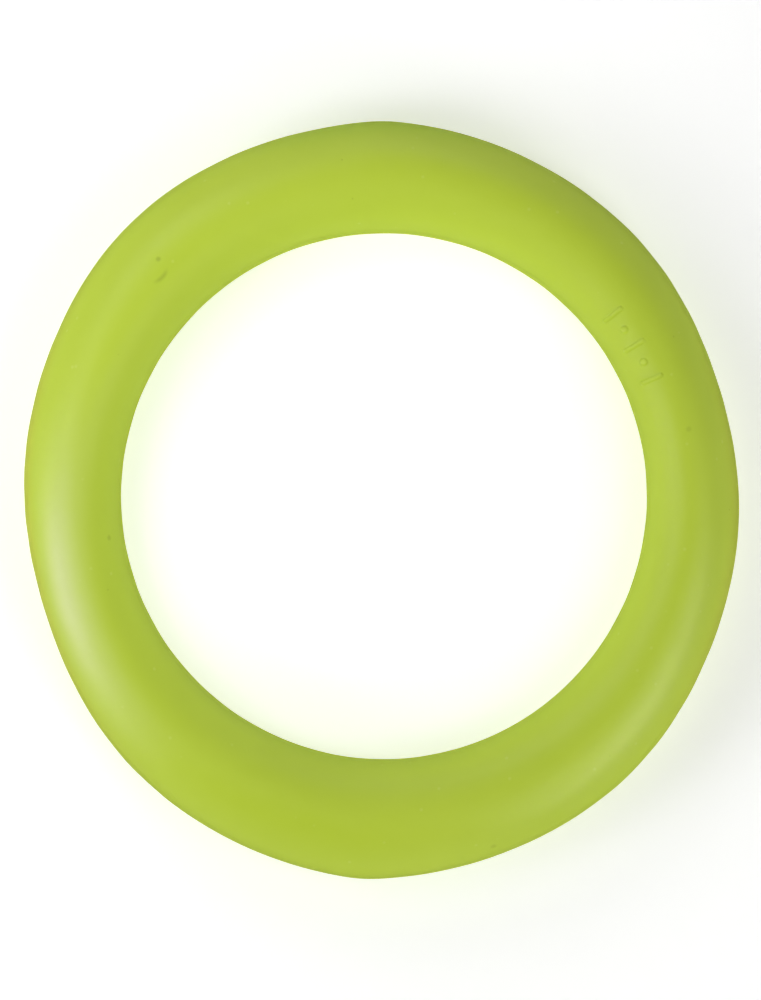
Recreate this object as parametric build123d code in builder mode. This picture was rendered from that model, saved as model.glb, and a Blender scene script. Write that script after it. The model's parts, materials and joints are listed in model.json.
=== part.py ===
"""A soft rubber flying ring, 178 mm across, for tossing, catching and ring tennis.

A sponge-rubber cord is bent round, and its two ends are cemented together on a slant. A rubber
cover goes over it as two half shells, which the heat of the mould joins to each other and to the
cord. The two halves meet on the mould's parting plane, in a thin bead.

The ring lies in the XY plane. The origin is the centre of the hole, on the parting plane, and +Z
points out of the half with the raised mark. The hole is round, but the rim is slightly oval and
off centre, so the ring's section is broader towards +Y and -Y. Millimetres and degrees.
"""

import os
from math import cos, radians, sin

from build123d import *

# Outline, over the trimmed parting bead
hole_diameter = 127.6
rim_diameter = 178.0
rim_oval = 2.5  # how far the rim bulges past its mean radius, at the ends of its long axis
rim_oval_direction = 97.7
rim_shift = 1.0  # how far the rim's centre lies from the hole's centre
rim_shift_direction = -136.0
section_height = 25.4

# Cover and core
cover_wall = 2.6
bead_proud = 0.25
bead_height = 0.8
splice_direction = 215.0
splice_skive = 45.0  # the angle between the splice and a square cut through the cord
splice_thickness = 0.4

# Raised mark on the inner shoulder: three bars, with a dot between each pair
mark_direction = 31.0
mark_radius = 70.2
mark_pitch = 3.7  # the angle from each bar to the dot beside it
mark_bar_length = 5.6
mark_bar_width = 1.1
mark_dot_diameter = 1.8
mark_proud = 0.3

section_count = 36  # sections that each loft round the ring passes through


def rim_radius(direction):
    """The distance from the hole's centre to the rim in one direction."""
    oval = rim_oval * cos(radians(2 * (direction - rim_oval_direction)))
    shift = rim_shift * cos(radians(direction - rim_shift_direction))
    return rim_diameter / 2 + oval + shift


def middle_radius(direction):
    """The distance from the hole's centre to the middle of the section in one direction."""
    return (hole_diameter / 2 + rim_radius(direction)) / 2


def section_plane(direction, radius):
    """A plane square across the ring, with its X axis pointing away from the hole."""
    outward = Vector(cos(radians(direction)), sin(radians(direction)), 0)
    along = Vector(-outward.Y, outward.X, 0)
    return Plane(origin=outward * radius, x_dir=outward, z_dir=along)


def loft_round(sections):
    """A closed loft through sections that stand all the way round the ring."""
    with BuildPart() as form:
        loft(sections=[*sections, sections[0]])
    return form.part


def ring_form(inset):
    """A ring of the bead's outline, with an elliptical section that far inside it."""
    sections = []
    for index in range(section_count):
        direction = 360 * index / section_count
        half_width = (rim_radius(direction) - hole_diameter / 2) / 2
        half_height = section_height / 2 + bead_proud
        with BuildSketch(section_plane(direction, middle_radius(direction))) as section:
            Ellipse(half_width - inset, half_height - inset)
        sections.append(section.sketch)
    return loft_round(sections)


def rim_plate(thickness):
    """A flat plate on the parting plane, from the rim to a little inside the hole."""
    sections = []
    for index in range(section_count):
        direction = 360 * index / section_count
        width = rim_radius(direction) - hole_diameter / 2 + thickness
        with BuildSketch(section_plane(direction, rim_radius(direction))) as section:
            Rectangle(width, thickness, align=(Align.MAX, Align.CENTER))
        sections.append(section.sketch)
    return loft_round(sections)


cover_form = ring_form(bead_proud)
mark_form = ring_form(bead_proud - mark_proud)
core_form = ring_form(bead_proud + cover_wall)
plate_form = rim_plate(bead_height)

# Parting bead, trimmed round on the hole side
with BuildPart() as bead:
    add(plate_form)
    with Locations((0, 0, bead_height)):
        Hole(hole_diameter / 2)

# Raised mark, as posts whose tops follow the cover
with BuildSketch() as mark_outline:
    with PolarLocations(mark_radius, 3, mark_direction - 2 * mark_pitch, 6 * mark_pitch):
        SlotOverall(mark_bar_length, mark_bar_width)
    with PolarLocations(mark_radius, 2, mark_direction - mark_pitch, 4 * mark_pitch):
        Circle(mark_dot_diameter / 2)

with BuildPart() as mark:
    add(mark_form)
    extrude(mark_outline.sketch, amount=section_height, mode=Mode.INTERSECT)

# Cover, hollow for the core, and parted into its two halves
with BuildPart() as cover:
    add(cover_form)
    add(bead.part)
    add(mark.part)
    add(core_form, mode=Mode.SUBTRACT)

with BuildPart() as upper_cover:
    add(cover.part)
    split(bisect_by=Plane.XY, keep=Keep.TOP)
upper_cover.part.label = "upper_cover"

with BuildPart() as lower_cover:
    add(cover.part)
    split(bisect_by=Plane.XY, keep=Keep.BOTTOM)
lower_cover.part.label = "lower_cover"

# Splice: the layer of rubber cement in the slanting cut through the core
square_cut = section_plane(splice_direction, middle_radius(splice_direction))
with BuildPart() as core_splice:
    with BuildSketch(square_cut.rotated((0, 0, splice_skive))):
        Rectangle(2 * section_height, 2 * section_height)
    extrude(amount=splice_thickness / 2, both=True)
    add(core_form, mode=Mode.INTERSECT)
core_splice.part.label = "core_splice"

with BuildPart() as sponge_core:
    add(core_form)
    add(core_splice.part, mode=Mode.SUBTRACT)
sponge_core.part.label = "sponge_core"

os.makedirs("parts", exist_ok=True)
for piece in (upper_cover, lower_cover, sponge_core, core_splice):
    export_step(piece.part, f"parts/{piece.part.label}.step")
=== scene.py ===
"""The flying ring's looks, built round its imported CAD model.

The two halves of the rubber cover are replaced by fine meshes, which carry the mark, the trimmed
parting bead and the unevenness of a soft moulding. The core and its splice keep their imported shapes,
inside them, and get their own materials. Metres and degrees. Directions round the ring are measured
from +X towards +Y, and a share says how far a point lies from the hole (0) to the rim (1).
"""

import json
from math import cos, pi, radians, sin, tau

import bpy
import numpy as np
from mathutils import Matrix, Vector


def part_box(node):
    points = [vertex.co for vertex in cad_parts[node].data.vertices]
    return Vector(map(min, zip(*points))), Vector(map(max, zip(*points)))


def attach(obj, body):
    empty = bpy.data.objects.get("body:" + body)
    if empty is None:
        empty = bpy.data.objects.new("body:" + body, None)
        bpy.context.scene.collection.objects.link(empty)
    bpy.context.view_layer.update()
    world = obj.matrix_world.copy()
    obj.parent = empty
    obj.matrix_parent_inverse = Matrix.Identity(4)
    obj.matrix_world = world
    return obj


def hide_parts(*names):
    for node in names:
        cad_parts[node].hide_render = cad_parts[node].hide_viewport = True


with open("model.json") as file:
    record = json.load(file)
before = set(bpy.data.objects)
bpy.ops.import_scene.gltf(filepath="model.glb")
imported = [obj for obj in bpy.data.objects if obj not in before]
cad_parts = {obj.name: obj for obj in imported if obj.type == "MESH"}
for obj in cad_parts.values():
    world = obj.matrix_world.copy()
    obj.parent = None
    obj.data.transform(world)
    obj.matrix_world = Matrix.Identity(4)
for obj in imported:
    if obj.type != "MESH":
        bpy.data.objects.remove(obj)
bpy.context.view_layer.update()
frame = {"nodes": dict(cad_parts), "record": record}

MM = 0.001

# Sizes that the frame gives
HOLE_RADIUS = next(m for m in frame["record"]["mounts"] if m["name"] == "hole")["dims"]["r_mm"] * MM
HALF_HEIGHT = -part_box("lower_cover")[0].z
FLOOR_Z = -HALF_HEIGHT

# Cover, as in the CAD model
COVER_WALL = 2.6 * MM
BEAD_PROUD = 0.25 * MM
BEAD_HALF_HEIGHT = 0.4 * MM

# How softly the bead meets the cover, the share of its height that trimming takes on average, and
# how long its trimmed dips are
BEAD_EDGE = 0.12 * MM
BEAD_TRIM = 0.14
BEAD_TRIM_LENGTH = 5 * MM

# The moulding's unevenness: the size of its humps, their height and the seed of their draw
UNEVENNESS = ((16 * MM, 0.035 * MM, 11), (5 * MM, 0.012 * MM, 12))
EVEN_NEAR_BEAD = 2.5 * MM  # it fades out within this height of the parting

# Raised mark: three bars, with a dot between each pair
MARK_DIRECTION = 31.0
MARK_RADIUS = 70.2 * MM
MARK_PITCH = 3.7
MARK_BAR_LENGTH = 5.6 * MM
MARK_BAR_WIDTH = 1.1 * MM
MARK_DOT_DIAMETER = 1.8 * MM
MARK_PROUD = 0.3 * MM
MARK_EDGE = 0.32 * MM  # its slope starts this far inside its outline, and ends half as far outside

# How far the soft rim strays from an oval: waves round the ring, depth, direction of a peak
RIM_STRAYS = ((3, 0.27 * MM, 18.5), (4, 0.25 * MM, -29.8), (8, 0.22 * MM, -2.8))

# How much wider than the CAD model the rim lies
RIM_SPREAD = 0.12 * MM

# Two places where the rim stands out a little more: direction, depth, half width in degrees
RIM_BULGES = ((90.0, 0.42 * MM, 6.0), (266.5, 0.5 * MM, 6.5))

# Specks of dirt: direction, share of the way from the hole to the rim, diameter, strength
SPECKS = (
    (133.6, 0.553, 1.8 * MM, 1.0), (188.6, 0.128, 2.0 * MM, 0.7),
    (12.4, 0.505, 2.0 * MM, 0.5), (287.4, 0.895, 2.3 * MM, 0.5),
)

# Pale spots: direction, share, diameter
PALE_SPOTS = ((46.8, 0.826, 1.3 * MM), (350.0, 0.411, 1.3 * MM))

# A short curved scuff on the upper left: its middle, size and strength, and how tight its curve is
SCUFF_DIRECTION = 135.4
SCUFF_SHARE = 0.41
SCUFF_LENGTH = 6.0 * MM
SCUFF_WIDTH = 1.3 * MM
SCUFF_STRENGTH = 0.95
SCUFF_BEND_RADIUS = 5.0 * MM

# A painted sheen along the left side, a pale highlight painted into the colour, and its paler core: the
# direction and share of the middle, the reach along the ring, the half width across it, and the colour
PAINTED_SHEENS = (
    (196.0, 0.65, 59 * MM, 8.3 * MM, (0.554, 0.668, 0.158)),
    (196.0, 0.705, 30 * MM, 4.0 * MM, (0.585, 0.678, 0.225)),
)
PAINTED_SHEEN_SLANT = 5.4 * MM  # how far its line slants outwards for each radian round the ring
PAINTED_SHEEN_FADE = 4 * MM  # it fades in over this height above the parting

# Light and shade painted along the rim, a little yellower on the left and darker on the right and top:
# direction, reach along the rim, height above the parting, colour
PAINTED_RIM_SHADING = (
    (186.0, 78 * MM, 9.5 * MM, (0.530, 0.606, 0.042)),
    (350.0, 65 * MM, 11.0 * MM, (0.478, 0.575, 0.036)),
    (92.0, 42 * MM, 12.5 * MM, (0.430, 0.595, 0.034)),
)

# The painted rim shading starts this far from the hole's centre, and is full from the second distance
# outwards
PAINTED_RIM_SHADING_START = (75 * MM, 80 * MM)

# Mesh spacing, and the heights of the rows on and beside the bead
COLUMN_STEP = 0.6
MARK_COLUMN_STEP = 0.11
ROW_STEP = 0.85 * MM
MARK_ROW_STEP = 0.18 * MM
CAVITY_ROWS = 18
BEAD_ROWS = np.array([0, 0.12, 0.22, 0.28, 0.34, 0.4, 0.46, 0.52, 0.6, 0.75, 1.0, 1.4]) * MM

# The mark's finer columns reach this far past its outermost bars, and its finer rows lie between
# these angles round the section
MARK_MARGIN = 1.2
MARK_ROWS_START = 94
MARK_ROWS_END = 141

# Studio: the floor's flat part and the rings of points on it, the bend at its edge, the wall above
# it, and how finely it is made
FLOOR_FLAT = 2.2
FLOOR_RINGS = (0.4, 1.2)
FLOOR_BEND = 0.8
FLOOR_WALL = 1.6
FLOOR_SIDES = 96
FLOOR_BEND_STEP = 6

# The floor's soft glow, which is stronger in the hole and fades to the rest at its reach
FLOOR_GLOW = 0.31
FLOOR_GLOW_IN_HOLE = 0.5
GLOW_REACH = 105 * MM

# Plain lights: name, azimuth, elevation, distance, power, and whether the ring reflects it
LIGHTS = (
    ("left_key", 200, 27, 0.9, 2.1, False),
    ("left_near_light", 186, 55, 0.28, 0.129, True),
    ("upper_left_light", 132, 42, 0.28, 0.130, True),
    ("upper_light", 84, 25, 0.38, 0.093, True),
    ("lower_right_light", 312, 25, 2.0, 11.4, False),
    ("lower_right_near_light", 330, 57, 0.5, 0.37, True),
)
SOFTBOX_SIDE = 0.42  # for each metre of a light's distance

# Lights that are only seen as a reflection: name, azimuth, elevation, power. The two strongest plain
# lights' own reflections would be too even, so these make the sheen instead.
SHEEN_LIGHTS = (("left_sheen", 194, 18, 0.0113), ("lower_right_sheen", 320, 28, 0.0085))
SHEEN_DISTANCE = 0.22
SHEEN_BEAM = 20
SHEEN_AIM = 0.75  # the share at which they are aimed
SHEEN_VIOLET = (0.76, 0.66, 1.0)

# Camera
CAMERA_X = -0.83 * MM
CAMERA_Y = -0.92 * MM
CAMERA_Z = 1.0
FRAME_HEIGHT = 242.9 * MM  # what the picture's height spans on the parting plane
SENSOR_WIDTH = 36


# Shape

def points_of(node):
    """A CAD node's vertices, as rows of x, y and z."""
    mesh = frame["nodes"][node].data
    flat = np.empty(3 * len(mesh.vertices))
    mesh.vertices.foreach_get("co", flat)
    return flat.reshape(-1, 3)


def measure_rim(node, sectors=60):
    """The rim's mean radius and its first two harmonics, from a CAD node's widest point in each sector."""
    points = points_of(node)
    direction = np.arctan2(points[:, 1], points[:, 0])
    radius = np.hypot(points[:, 0], points[:, 1])
    sector = np.floor(direction / tau * sectors)
    widest = []
    for index in np.unique(sector):
        inside = np.flatnonzero(sector == index)
        widest.append(inside[np.argmax(radius[inside])])
    terms = rim_terms(direction[widest])
    return np.linalg.lstsq(terms, radius[widest], rcond=None)[0]


def rim_terms(direction):
    """The terms that the rim's radius is a sum of, one column each."""
    return np.stack([
        np.ones_like(direction),
        np.cos(direction), np.sin(direction),
        np.cos(2 * direction), np.sin(2 * direction),
    ], axis=-1)


RIM = measure_rim("lower_cover")


def rim_radius(direction):
    """The distance from the hole's centre to the rim, in directions in radians."""
    radius = rim_terms(direction) @ RIM + RIM_SPREAD
    for waves, depth, peak in RIM_STRAYS:
        radius = radius + depth * np.cos(waves * (direction - radians(peak)))
    for centre, depth, half_width in RIM_BULGES:
        away = np.angle(np.exp(1j * (direction - radians(centre))))
        radius = radius + depth * np.exp(-(away / radians(half_width)) ** 2)
    return radius


def smooth_step(low, high, value):
    """0 below low, 1 above high, and smooth between them."""
    t = np.clip((value - low) / (high - low), 0, 1)
    return t * t * (3 - 2 * t)


def unevenness(points, size, seed):
    """A smooth random field over points, mostly between -1 and 1, with humps of about that size."""
    draw = np.random.default_rng(seed)
    waves = 14
    field = np.zeros(points.shape[:-1])
    for _ in range(waves):
        course = draw.normal(size=3)
        course *= pi / (np.linalg.norm(course) * size * draw.uniform(0.8, 1.3))
        field += np.sin(points @ course + draw.uniform(0, tau))
    return field / np.sqrt(waves)


def mark_height(x, y):
    """How much of the mark's full height stands at each point, from 0 to 1."""
    height = np.zeros_like(x)
    for step in range(-2, 3):
        direction = radians(MARK_DIRECTION + step * MARK_PITCH)
        along = x * cos(direction) + y * sin(direction) - MARK_RADIUS
        across = y * cos(direction) - x * sin(direction)
        is_bar = step % 2 == 0
        half_run = (MARK_BAR_LENGTH - MARK_BAR_WIDTH) / 2 if is_bar else 0
        half_width = (MARK_BAR_WIDTH if is_bar else MARK_DOT_DIAMETER) / 2
        distance = np.hypot(np.maximum(np.abs(along) - half_run, 0), across)
        shape = 1 - smooth_step(half_width - MARK_EDGE, half_width + MARK_EDGE / 2, distance)
        height = np.maximum(height, shape)
    return height


def spaced(low, high, step):
    """Values from low up to but not including high, about one step apart."""
    return np.linspace(low, high, max(1, round((high - low) / step)), endpoint=False)


def columns(with_mark):
    """The directions of the mesh's columns, all the way round, in radians."""
    if not with_mark:
        return np.radians(spaced(0, 360, COLUMN_STEP))
    reach = 2 * MARK_PITCH + MARK_MARGIN
    start, end = MARK_DIRECTION - reach, MARK_DIRECTION + reach
    fine = spaced(start, end, MARK_COLUMN_STEP)
    return np.radians(np.concatenate([fine, spaced(end, start + 360, COLUMN_STEP)]))


def rows(with_mark):
    """The angles round the section of the mesh's rows, from the rim over the crest to the hole."""
    step = ROW_STEP / HALF_HEIGHT
    near_rim = np.arcsin(BEAD_ROWS / HALF_HEIGHT)
    near_hole = pi - near_rim[::-1]
    start = near_rim[-1] + step / 2
    end = near_hole[0] - step / 2
    if with_mark:
        fine_start, fine_end = radians(MARK_ROWS_START), radians(MARK_ROWS_END)
        middle = np.concatenate([
            spaced(start, fine_start, step),
            spaced(fine_start, fine_end, MARK_ROW_STEP / HALF_HEIGHT),
            spaced(fine_end, end, step),
        ])
    else:
        middle = spaced(start, end, step)
    return np.concatenate([near_rim, middle, near_hole])


def section_points(direction, turn, inset, side):
    """Points on the ring's form, inset from the bead's outline, and their outward normals."""
    rim = rim_radius(direction)
    middle = (rim + HOLE_RADIUS) / 2
    half_width = (rim - HOLE_RADIUS) / 2 - inset
    half_height = HALF_HEIGHT + BEAD_PROUD - inset
    out = middle + half_width * np.cos(turn)
    up = side * half_height * np.sin(turn)
    normal_out = half_height * np.cos(turn)
    normal_up = side * half_width * np.sin(turn)
    length = np.hypot(normal_out, normal_up)
    return in_ring(direction, out, up), in_ring(direction, normal_out / length, normal_up / length)


def top_point(direction, share):
    """A point on the upper surface, in a direction in degrees and some way from the hole to the rim."""
    points, _ = section_points(radians(direction), np.arccos(2 * share - 1), BEAD_PROUD, 1)
    return tuple(float(part) for part in points)


def in_ring(direction, out, up):
    """Points or vectors from how far they go outwards, in a direction, and upwards."""
    parts = np.broadcast_arrays(out * np.cos(direction), out * np.sin(direction), up)
    return np.stack(parts, axis=-1)


def cover_half(name, side, with_mark):
    """Half of the cover, as one closed shell: outside, cavity and the flat faces at the parting."""
    direction = columns(with_mark)[:, None]
    outer_turn = rows(with_mark)[None, :]
    cavity_turn = np.linspace(pi, 0, CAVITY_ROWS)[None, :]

    outer, normals = section_points(direction, outer_turn, BEAD_PROUD, side)
    height = np.abs(outer[..., 2])
    bead = 1 - smooth_step(BEAD_HALF_HEIGHT - BEAD_EDGE, BEAD_HALF_HEIGHT + BEAD_EDGE, height)
    dips = np.clip(unevenness(outer * [1, 1, 0], BEAD_TRIM_LENGTH, seed=3), -1, 1)
    rise = bead * (1 - BEAD_TRIM + BEAD_TRIM * dips) * BEAD_PROUD
    clear_of_bead = smooth_step(0, EVEN_NEAR_BEAD, height)
    for size, depth, seed in UNEVENNESS:
        rise = rise + clear_of_bead * depth * unevenness(outer, size, seed)
    if with_mark:
        rise = rise + MARK_PROUD * mark_height(outer[..., 0], outer[..., 1])
    outer = outer + normals * rise[..., None]

    cavity, _ = section_points(direction, cavity_turn, BEAD_PROUD + COVER_WALL, side)
    for wall in (outer, cavity):
        wall[..., [0, -1], 2] = 0  # its first and last rows lie on the parting
    return ring_mesh(name, np.concatenate([outer, cavity], axis=1), side)


def ring_mesh(name, grid, side):
    """A closed mesh from a grid of points that wraps round both ways."""
    count, loop = grid.shape[:2]
    column, row = np.meshgrid(np.arange(count), np.arange(loop), indexing="ij")
    next_column = (column + 1) % count
    next_row = (row + 1) % loop
    corners = [
        column * loop + row, next_column * loop + row,
        next_column * loop + next_row, column * loop + next_row,
    ]
    if side < 0:
        corners.reverse()
    faces = np.stack(corners, axis=-1).reshape(-1, 4)
    mesh = bpy.data.meshes.new(name)
    mesh.from_pydata(grid.reshape(-1, 3).tolist(), [], faces.tolist())
    mesh.shade_smooth()
    mesh.set_sharp_from_angle(angle=radians(50))
    piece = bpy.data.objects.new(name, mesh)
    bpy.context.collection.objects.link(piece)
    return piece


# Materials

class Surface:
    """A material, with short ways to add and join its nodes."""

    def __init__(self, name):
        self.material = bpy.data.materials.new(name)
        self.material.use_nodes = True
        self.tree = self.material.node_tree
        self.shader = self.tree.nodes["Principled BSDF"]
        self.place = self.node("TexCoord").outputs["Object"]

    def node(self, kind, settings=(), **inputs):
        """A new node. Each input is named with _ for a space, and is a value or another node's output."""
        made = self.tree.nodes.new("ShaderNode" + kind)
        for key, value in dict(settings).items():
            setattr(made, key, value)
        for key, value in inputs.items():
            self.feed(made.inputs[key.replace("_", " ")], value)
        return made

    def feed(self, socket, value):
        """Sets an input to a value, or joins it to another node's output."""
        if isinstance(value, bpy.types.NodeSocket):
            self.tree.links.new(value, socket)
        else:
            socket.default_value = value

    def set(self, **inputs):
        """Sets the shader's own inputs."""
        for key, value in inputs.items():
            self.feed(self.shader.inputs[key.replace("_", " ")], value)

    def noise(self, size, detail=2.0, roughness=0.5, distortion=0.0):
        """Noise with blotches of about that size."""
        made = self.node("TexNoise", Vector=self.place, Scale=1 / size, Detail=detail,
                         Roughness=roughness, Distortion=distortion)
        return made.outputs["Fac"]

    def remap(self, value, low, high, to_low, to_high):
        """A value stretched from one range to another, and kept inside it."""
        made = self.node("MapRange", Value=value, From_Min=low, From_Max=high,
                         To_Min=to_low, To_Max=to_high)
        return made.outputs["Result"]

    def math(self, operation, *values):
        """One step of arithmetic."""
        made = self.node("Math", {"operation": operation})
        for socket, value in zip(made.inputs, values):
            self.feed(socket, value)
        return made.outputs["Value"]

    def distance(self, point):
        """How far the surface is from a point."""
        made = self.node("VectorMath", {"operation": "DISTANCE"}, Vector=self.place)
        made.inputs[1].default_value = point
        return made.outputs["Value"]

    def plan_distance(self, point):
        """How far the surface is from an upright line through a point at height 0."""
        flat = self.node("VectorMath", {"operation": "MULTIPLY"}, Vector=self.place)
        flat.inputs[1].default_value = (1, 1, 0)
        made = self.node("VectorMath", {"operation": "DISTANCE"}, Vector=flat.outputs["Vector"])
        made.inputs[1].default_value = point
        return made.outputs["Value"]

    def falloff(self, value, reach, full_share=0.0):
        """1 up to a share of the reach, then falling smoothly to 0 at the reach."""
        made = self.node("MapRange", {"interpolation_type": "SMOOTHSTEP"}, Value=value,
                         From_Min=reach, From_Max=reach * full_share, To_Min=0.0, To_Max=1.0)
        return made.outputs["Result"]

    def spot(self, point, radius):
        """1 round a point, falling smoothly to 0 at a radius."""
        return self.falloff(self.distance(point), radius, 0.2)

    def mix(self, factor, first, second, blend="MIX"):
        """Two colours mixed."""
        made = self.node("Mix", {"data_type": "RGBA", "blend_type": blend})
        colours = [socket for socket in made.inputs if socket.type == "RGBA"]
        self.feed(made.inputs[0], factor)
        self.feed(colours[0], first)
        self.feed(colours[1], second)
        return next(socket for socket in made.outputs if socket.type == "RGBA")

    def bump(self, height, distance, strength=1.0, under=None):
        """A bump from a height between 0 and 1, over any bump that is under it."""
        made = self.node("Bump", Height=height, Distance=distance, Strength=strength)
        if under is not None:
            self.feed(made.inputs["Normal"], under)
        return made.outputs["Normal"]


def colour(red, green, blue):
    """A linear colour, with full alpha."""
    return (red, green, blue, 1.0)


def lime_rubber():
    """Satin lime-green moulded rubber."""
    surface = Surface("lime_rubber")
    tone = surface.noise(45 * MM, detail=1)
    mottle = surface.noise(4 * MM, detail=3)
    grain = surface.noise(0.35 * MM, detail=2)
    base = surface.mix(surface.remap(tone, 0.3, 0.7, 0, 1),
                       colour(0.480, 0.624, 0.034), colour(0.496, 0.640, 0.038))
    base = surface.mix(surface.remap(mottle, 0.35, 0.65, 0, 0.12), base, colour(0.52, 0.665, 0.046))
    # Painted light and shade along the rim: yellower on the left, darker on the right and the top
    base = rim_with_painted_shading(surface, base)
    trim = trimmed_band(surface)
    base = surface.mix(trim, base, colour(0.53, 0.60, 0.045))
    base = surface.mix(surface.math("MULTIPLY", bloom(surface), 0.35), base, colour(0.60, 0.72, 0.13))
    # Painted sheen: pale highlights painted into the colour along the left side
    for direction, share, reach, half_width, pale in PAINTED_SHEENS:
        base = surface.mix(painted_sheen(surface, direction, share, reach, half_width), base, colour(*pale))
    dirt = surface.math("MAXIMUM", specks(surface), scuff(surface))
    base = surface.mix(surface.math("MULTIPLY", dirt, 0.4), base, colour(0.19, 0.27, 0.014))
    rough = surface.remap(mottle, 0.3, 0.7, 0.46, 0.54)
    rough = surface.math("ADD", rough, surface.math("MULTIPLY", surface.math("MAXIMUM", dirt, trim), 0.15))
    surface.set(Base_Color=base, Roughness=rough, Specular_IOR_Level=0.6)
    normal = surface.bump(mottle, 0.03 * MM)
    normal = surface.bump(grain, 0.012 * MM, under=normal)
    normal = surface.bump(surface.math("SUBTRACT", 1.0, dirt), 0.05 * MM, under=normal)
    surface.set(Normal=normal)
    return surface.material


def trimmed_band(surface):
    """Where the bead was trimmed, with a torn edge: 0.75 on the bead and 0 off it."""
    up = surface.node("SeparateXYZ", Vector=surface.place).outputs["Z"]
    tear = surface.remap(surface.noise(1.2 * MM, detail=3), 0.3, 0.7, -0.12 * MM, 0.12 * MM)
    away = surface.math("ADD", surface.math("ABSOLUTE", up), tear)
    return surface.remap(away, BEAD_HALF_HEIGHT, BEAD_HALF_HEIGHT + 0.15 * MM, 0.75, 0)


def rim_with_painted_shading(surface, base):
    """The base colour, with light and shade painted along stretches of the rim: a little yellower on the
    left, darker or greener on the right and the top.
    """
    up = surface.node("SeparateXYZ", Vector=surface.place).outputs["Z"]
    height = surface.math("ABSOLUTE", up)
    outside = surface.remap(surface.plan_distance((0, 0, 0)), *PAINTED_RIM_SHADING_START, 0, 1)
    for direction, reach, top, shading_colour in PAINTED_RIM_SHADING:
        at_rim = surface.math("MULTIPLY", outside, surface.falloff(height, top, 0.4))
        near = surface.falloff(surface.distance(top_point(direction, 1.0)), reach, 0.15)
        base = surface.mix(surface.math("MULTIPLY", at_rim, near), base, colour(*shading_colour))
    return base


def scattered(surface, spacing, radius, share, turn):
    """Small round dots, in some of the cells of a random pattern."""
    shifted = surface.node("Mapping", Vector=surface.place, Rotation=(turn, turn, 0.0)).outputs["Vector"]
    cells = surface.node("TexVoronoi", Vector=shifted, Scale=1 / spacing)
    near = surface.remap(cells.outputs["Distance"], 0.4 * radius / spacing, radius / spacing, 1, 0)
    lot = surface.node("SeparateColor", Color=cells.outputs["Color"]).outputs["Red"]
    return surface.math("MULTIPLY", near, surface.math("LESS_THAN", lot, share))


def bloom(surface):
    """Faint pale flecks, and the larger pale spots."""
    dots = scattered(surface, 5 * MM, 0.55 * MM, 0.6, 0.7)
    for direction, share, diameter in PALE_SPOTS:
        spot = surface.spot(top_point(direction, share), diameter / 2)
        dots = surface.math("MAXIMUM", dots, spot)
    return dots


def specks(surface):
    """The larger specks of dirt, and a few fine ones."""
    dots = surface.math("MULTIPLY", scattered(surface, 8 * MM, 0.32 * MM, 0.5, 0.3), 0.6)
    for direction, share, diameter, strength in SPECKS:
        spot = surface.spot(top_point(direction, share), diameter / 2)
        dots = surface.math("MAXIMUM", dots, surface.math("MULTIPLY", spot, strength))
    return dots


def scuff(surface):
    """A short curved scuff, which bulges towards the hole."""
    middle = Vector(top_point(SCUFF_DIRECTION, SCUFF_SHARE))
    outward = Vector((cos(radians(SCUFF_DIRECTION)), sin(radians(SCUFF_DIRECTION)), 0))
    away = surface.distance(tuple(middle + outward * SCUFF_BEND_RADIUS))
    off_line = surface.math("ABSOLUTE", surface.math("SUBTRACT", away, SCUFF_BEND_RADIUS))
    line = surface.remap(off_line, 0, 0.6 * SCUFF_WIDTH, SCUFF_STRENGTH, 0)
    return surface.math("MULTIPLY", line, surface.spot(tuple(middle), SCUFF_LENGTH / 2))


def painted_sheen(surface, direction, share, reach, half_width):
    """A long soft patch of painted sheen, a pale highlight painted into the colour, which follows the ring:
    near 1 in its middle, and 0 outside it.
    """
    middle = Vector(top_point(direction, share))
    turned = radians(direction + 90)
    centre = Vector((cos(turned), sin(turned), 0)) * PAINTED_SHEEN_SLANT
    radius = (middle - centre).to_2d().length
    off_line = surface.math("ABSOLUTE", surface.math("SUBTRACT", surface.plan_distance(centre), radius))
    across = surface.falloff(off_line, half_width)
    along = surface.falloff(surface.distance(middle), reach)
    up = surface.node("SeparateXYZ", Vector=surface.place).outputs["Z"]
    on_top = surface.remap(up, 0, PAINTED_SHEEN_FADE, 0, 1)
    patchy = surface.remap(surface.noise(7 * MM, detail=3), 0.3, 0.7, 0.82, 1.0)
    strength = surface.math("MULTIPLY", surface.math("MULTIPLY", across, along), patchy)
    return surface.math("MULTIPLY", strength, on_top)


def sponge_rubber():
    """Dark closed-cell sponge rubber."""
    surface = Surface("sponge_rubber")
    cells = surface.node("TexVoronoi", Vector=surface.place, Scale=1 / (0.9 * MM)).outputs["Distance"]
    tone = surface.noise(6 * MM, detail=2)
    base = surface.mix(surface.remap(tone, 0.3, 0.7, 0, 1),
                       colour(0.10, 0.095, 0.085), colour(0.14, 0.13, 0.12))
    surface.set(Base_Color=surface.mix(surface.remap(cells, 0, 0.5, 0.6, 0), base, colour(0.03, 0.03, 0.03)))
    surface.set(Roughness=surface.remap(tone, 0.3, 0.7, 0.8, 0.92))
    surface.set(Normal=surface.bump(cells, 0.3 * MM))
    return surface.material


def rubber_cement():
    """The dried cement of the core's splice."""
    surface = Surface("rubber_cement")
    brush = surface.noise(2 * MM, detail=3, distortion=1.0)
    surface.set(Base_Color=surface.mix(surface.remap(brush, 0.3, 0.7, 0, 1),
                                       colour(0.50, 0.36, 0.17), colour(0.60, 0.45, 0.24)))
    surface.set(Roughness=surface.remap(brush, 0.3, 0.7, 0.5, 0.7))
    surface.set(Normal=surface.bump(brush, 0.1 * MM))
    return surface.material


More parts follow.
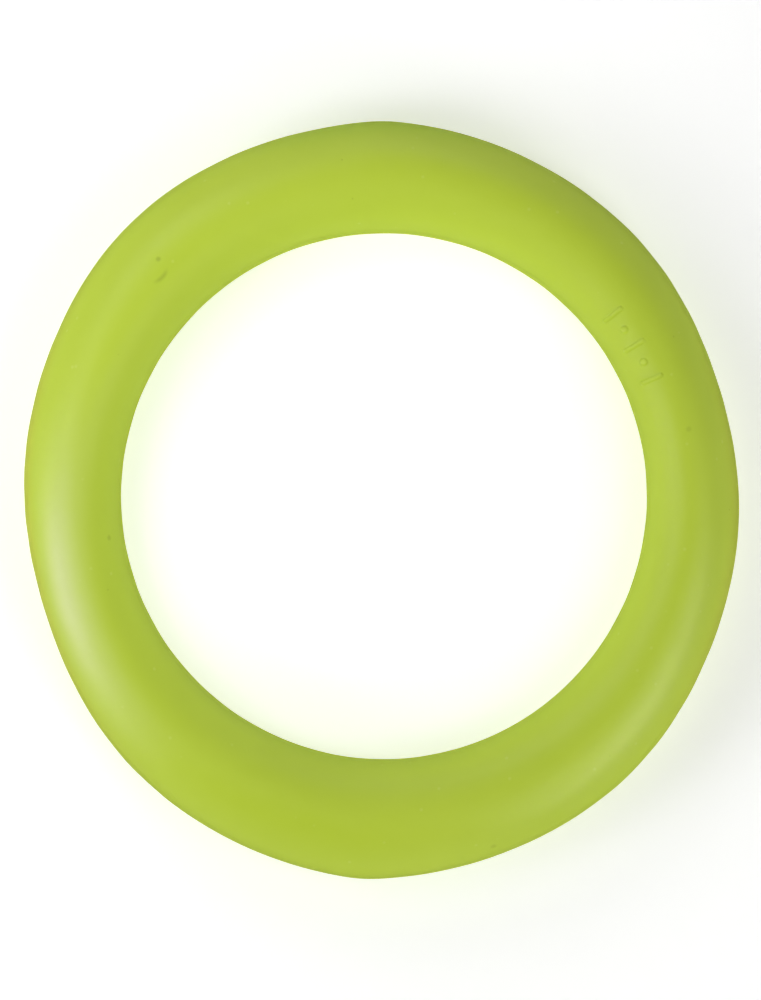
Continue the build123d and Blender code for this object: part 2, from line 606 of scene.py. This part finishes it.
def studio_paper():
    """The floor's matte white paper, with its soft glow."""
    surface = Surface("studio_paper")
    fibre = surface.noise(3 * MM, detail=4)
    surface.set(Base_Color=surface.mix(fibre, colour(0.90, 0.90, 0.90), colour(0.92, 0.92, 0.92)))
    surface.set(Roughness=surface.remap(fibre, 0.3, 0.7, 0.85, 0.95))
    in_hole = surface.falloff(surface.distance((0, 0, FLOOR_Z)), GLOW_REACH, 0.35)
    glow = surface.remap(in_hole, 0, 1, FLOOR_GLOW, FLOOR_GLOW_IN_HOLE)
    surface.set(Emission_Color=colour(1, 1, 1), Emission_Strength=glow)
    return surface.material


def wear(piece, material):
    """Gives a piece one material, on every slot that it has."""
    if not piece.material_slots:
        piece.data.materials.append(material)
    for held in piece.material_slots:
        held.material = material


# Studio

def make_floor():
    """A round white sweep: flat under the ring, and curving up to a wall on every side."""
    profile = [(out, 0) for out in FLOOR_RINGS]
    for turn in range(0, 91, FLOOR_BEND_STEP):
        out = FLOOR_FLAT + FLOOR_BEND * sin(radians(turn))
        profile.append((out, FLOOR_BEND - FLOOR_BEND * cos(radians(turn))))
    profile.append((FLOOR_FLAT + FLOOR_BEND, FLOOR_BEND + FLOOR_WALL))
    count = FLOOR_SIDES
    points = [(0, 0, FLOOR_Z)]
    for out, up in profile:
        points += [(out * cos(tau * i / count), out * sin(tau * i / count), FLOOR_Z + up)
                   for i in range(count)]
    faces = [(0, 1 + i, 1 + (i + 1) % count) for i in range(count)]
    for ring in range(len(profile) - 1):
        inner = 1 + ring * count
        outer = inner + count
        faces += [(inner + i, outer + i, outer + (i + 1) % count, inner + (i + 1) % count)
                  for i in range(count)]
    mesh = bpy.data.meshes.new("floor")
    mesh.from_pydata(points, [], faces)
    mesh.shade_smooth()
    floor = bpy.data.objects.new("floor", mesh)
    bpy.context.collection.objects.link(floor)
    wear(floor, studio_paper())
    floor.visible_glossy = False


def softbox(name, azimuth, elevation, distance, power, aim=(0, 0, 0)):
    """A square area light, which faces the ring's middle or another point."""
    light = bpy.data.lights.new(name, "AREA")
    light.shape = "SQUARE"
    light.size = SOFTBOX_SIDE * distance
    light.energy = power
    lamp = bpy.data.objects.new(name, light)
    a, e = radians(azimuth), radians(elevation)
    towards = Vector((cos(a) * cos(e), sin(a) * cos(e), sin(e)))
    lamp.location = towards * distance
    lamp.rotation_euler = (lamp.location - Vector(aim)).to_track_quat("Z", "Y").to_euler()
    lamp.visible_camera = False
    bpy.context.collection.objects.link(lamp)
    return lamp


def sheen_light(name, azimuth, elevation, power):
    """A near, slightly violet light that only shows as a reflection on the ring's near side."""
    lamp = softbox(name, azimuth, elevation, SHEEN_DISTANCE, power, top_point(azimuth, SHEEN_AIM))
    lamp.data.spread = radians(SHEEN_BEAM)
    lamp.data.color = SHEEN_VIOLET
    lamp.visible_diffuse = False


def make_lights():
    """Soft light from all round but the upper right, strongest from the left and the lower right."""
    for *placing, reflects in LIGHTS:
        softbox(*placing).visible_glossy = reflects
    for placing in SHEEN_LIGHTS:
        sheen_light(*placing)
    world = bpy.data.worlds.new("studio")
    world.use_nodes = True
    background = world.node_tree.nodes["Background"]
    background.inputs["Color"].default_value = colour(0, 0, 0)
    background.inputs["Strength"].default_value = 0.0
    bpy.context.scene.world = world


def make_camera():
    """Straight down on the ring, framed as in the photograph."""
    camera = bpy.data.cameras.new("camera")
    camera.sensor_width = SENSOR_WIDTH
    camera.lens = SENSOR_WIDTH * CAMERA_Z / FRAME_HEIGHT
    camera.clip_end = 20
    stand = bpy.data.objects.new("camera", camera)
    stand.location = (CAMERA_X, CAMERA_Y, CAMERA_Z)
    bpy.context.collection.objects.link(stand)
    bpy.context.scene.camera = stand


def build():
    """The whole scene."""
    rubber = lime_rubber()
    for name, node, side in (("upper_cover_skin", "upper_cover", 1), ("lower_cover_skin", "lower_cover", -1)):
        piece = cover_half(name, side, with_mark=side > 0)
        wear(piece, rubber)
        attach(piece, "root")
        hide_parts(node)
    wear(frame["nodes"]["sponge_core"], sponge_rubber())
    wear(frame["nodes"]["core_splice"], rubber_cement())
    make_floor()
    make_lights()
    make_camera()
    scene = bpy.context.scene
    scene.view_settings.view_transform = "Standard"
    scene.view_settings.look = "None"


build()
